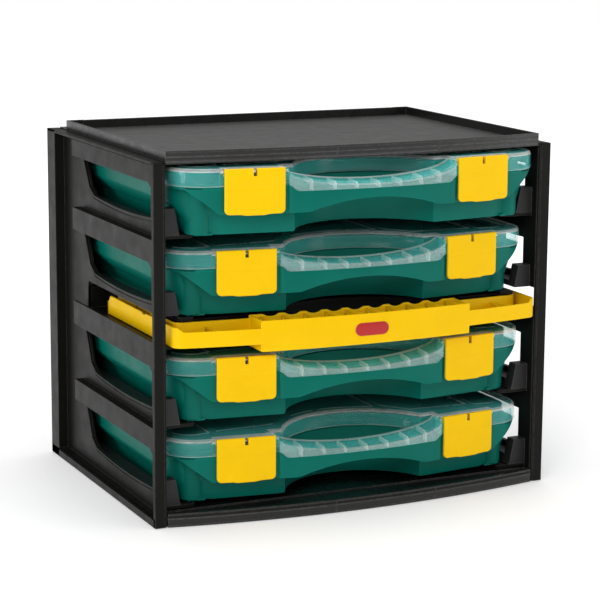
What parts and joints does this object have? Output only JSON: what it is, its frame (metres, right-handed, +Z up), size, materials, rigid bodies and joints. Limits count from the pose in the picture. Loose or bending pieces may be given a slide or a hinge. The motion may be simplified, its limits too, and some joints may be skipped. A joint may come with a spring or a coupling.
{
  "type": "parts organizer",
  "caption": "Open-fronted black rack with slide-in green organizer cases, clear lids, yellow latches and a yellow pull-out carrying handle.",
  "frame": {"origin": "bottom centre of the rack: midway between the side panels and midway between the front and back edges of the side panels, on the surface it stands on", "axes": "+X to the right seen from the front, +Y to the back, +Z up"},
  "size_m": [0.404, 0.331, 0.3415],
  "materials": {
    "rack_black": "satin moulded",
    "case_green": "satin moulded",
    "lid_clear": "clear moulded polypropylene, slightly milky",
    "latch_yellow": "satin moulded",
    "handle_yellow": "satin moulded",
    "badge_red": "plain label",
    "pin_steel": "drawn"
  },
  "bodies": {
    "rack": {"side_panel_left": "rack_black", "side_panel_right": "rack_black", "top_tray": "rack_black", "bottom_panel": "rack_black", "back_panel": "rack_black", "mid_shelf": "rack_black"},
    "carry_handle": {"carry_handle": "handle_yellow", "handle_badge": "badge_red"},
    "case_1": {"case_1_base": "case_green", "case_1_lid": "lid_clear", "case_1_dividers": "case_green", "case_1_hinge_rod": "pin_steel", "case_1_latch_pins": "pin_steel"},
    "case_2": {"case_2_base": "case_green", "case_2_lid": "lid_clear", "case_2_dividers": "case_green", "case_2_hinge_rod": "pin_steel", "case_2_latch_pins": "pin_steel"},
    "case_3": {"case_3_base": "case_green", "case_3_lid": "lid_clear", "case_3_dividers": "case_green", "case_3_hinge_rod": "pin_steel", "case_3_latch_pins": "pin_steel"},
    "case_4": {"case_4_base": "case_green", "case_4_lid": "lid_clear", "case_4_dividers": "case_green", "case_4_hinge_rod": "pin_steel", "case_4_latch_pins": "pin_steel"},
    "case_1_latch_left": {"case_1_latch_left": "latch_yellow"},
    "case_1_latch_right": {"case_1_latch_right": "latch_yellow"},
    "case_2_latch_left": {"case_2_latch_left": "latch_yellow"},
    "case_2_latch_right": {"case_2_latch_right": "latch_yellow"},
    "case_3_latch_left": {"case_3_latch_left": "latch_yellow"},
    "case_3_latch_right": {"case_3_latch_right": "latch_yellow"},
    "case_4_latch_left": {"case_4_latch_left": "latch_yellow"},
    "case_4_latch_right": {"case_4_latch_right": "latch_yellow"}
  },
  "joints": [
    {"name": "handle_slide", "type": "slide", "parent": "rack", "child": "carry_handle", "axis": [0, -1, 0], "range_m": [0, 0.1]},
    {"name": "case_1_slide", "type": "slide", "parent": "rack", "child": "case_1", "axis": [0, -1, 0], "range_m": [-0.018, 0.232]},
    {"name": "case_2_slide", "type": "slide", "parent": "rack", "child": "case_2", "axis": [0, -1, 0], "range_m": [0, 0.25]},
    {"name": "case_3_slide", "type": "slide", "parent": "rack", "child": "case_3", "axis": [0, -1, 0], "range_m": [0, 0.25]},
    {"name": "case_4_slide", "type": "slide", "parent": "rack", "child": "case_4", "axis": [0, -1, 0], "range_m": [0, 0.25]},
    {"name": "case_1_latch_left_hinge", "type": "hinge", "parent": "case_1", "child": "case_1_latch_left", "pos_m": [-0.11471, -0.16712, 0.3221], "axis": [-0.9925, 0.1219, 0], "range_deg": [0, 85]},
    {"name": "case_1_latch_right_hinge", "type": "hinge", "parent": "case_1", "child": "case_1_latch_right", "pos_m": [0.11471, -0.16712, 0.3221], "axis": [-0.9925, -0.1219, 0], "range_deg": [0, 85]},
    {"name": "case_2_latch_left_hinge", "type": "hinge", "parent": "case_2", "child": "case_2_latch_left", "pos_m": [-0.11471, -0.14912, 0.2466], "axis": [-0.9925, 0.1219, 0], "range_deg": [0, 85]},
    {"name": "case_2_latch_right_hinge", "type": "hinge", "parent": "case_2", "child": "case_2_latch_right", "pos_m": [0.11471, -0.14912, 0.2466], "axis": [-0.9925, -0.1219, 0], "range_deg": [0, 85]},
    {"name": "case_3_latch_left_hinge", "type": "hinge", "parent": "case_3", "child": "case_3_latch_left", "pos_m": [-0.11471, -0.14912, 0.1491], "axis": [-0.9925, 0.1219, 0], "range_deg": [0, 85]},
    {"name": "case_3_latch_right_hinge", "type": "hinge", "parent": "case_3", "child": "case_3_latch_right", "pos_m": [0.11471, -0.14912, 0.1491], "axis": [-0.9925, -0.1219, 0], "range_deg": [0, 85]},
    {"name": "case_4_latch_left_hinge", "type": "hinge", "parent": "case_4", "child": "case_4_latch_left", "pos_m": [-0.11471, -0.14912, 0.0736], "axis": [-0.9925, 0.1219, 0], "range_deg": [0, 85]},
    {"name": "case_4_latch_right_hinge", "type": "hinge", "parent": "case_4", "child": "case_4_latch_right", "pos_m": [0.11471, -0.14912, 0.0736], "axis": [-0.9925, -0.1219, 0], "range_deg": [0, 85]}
  ]
}
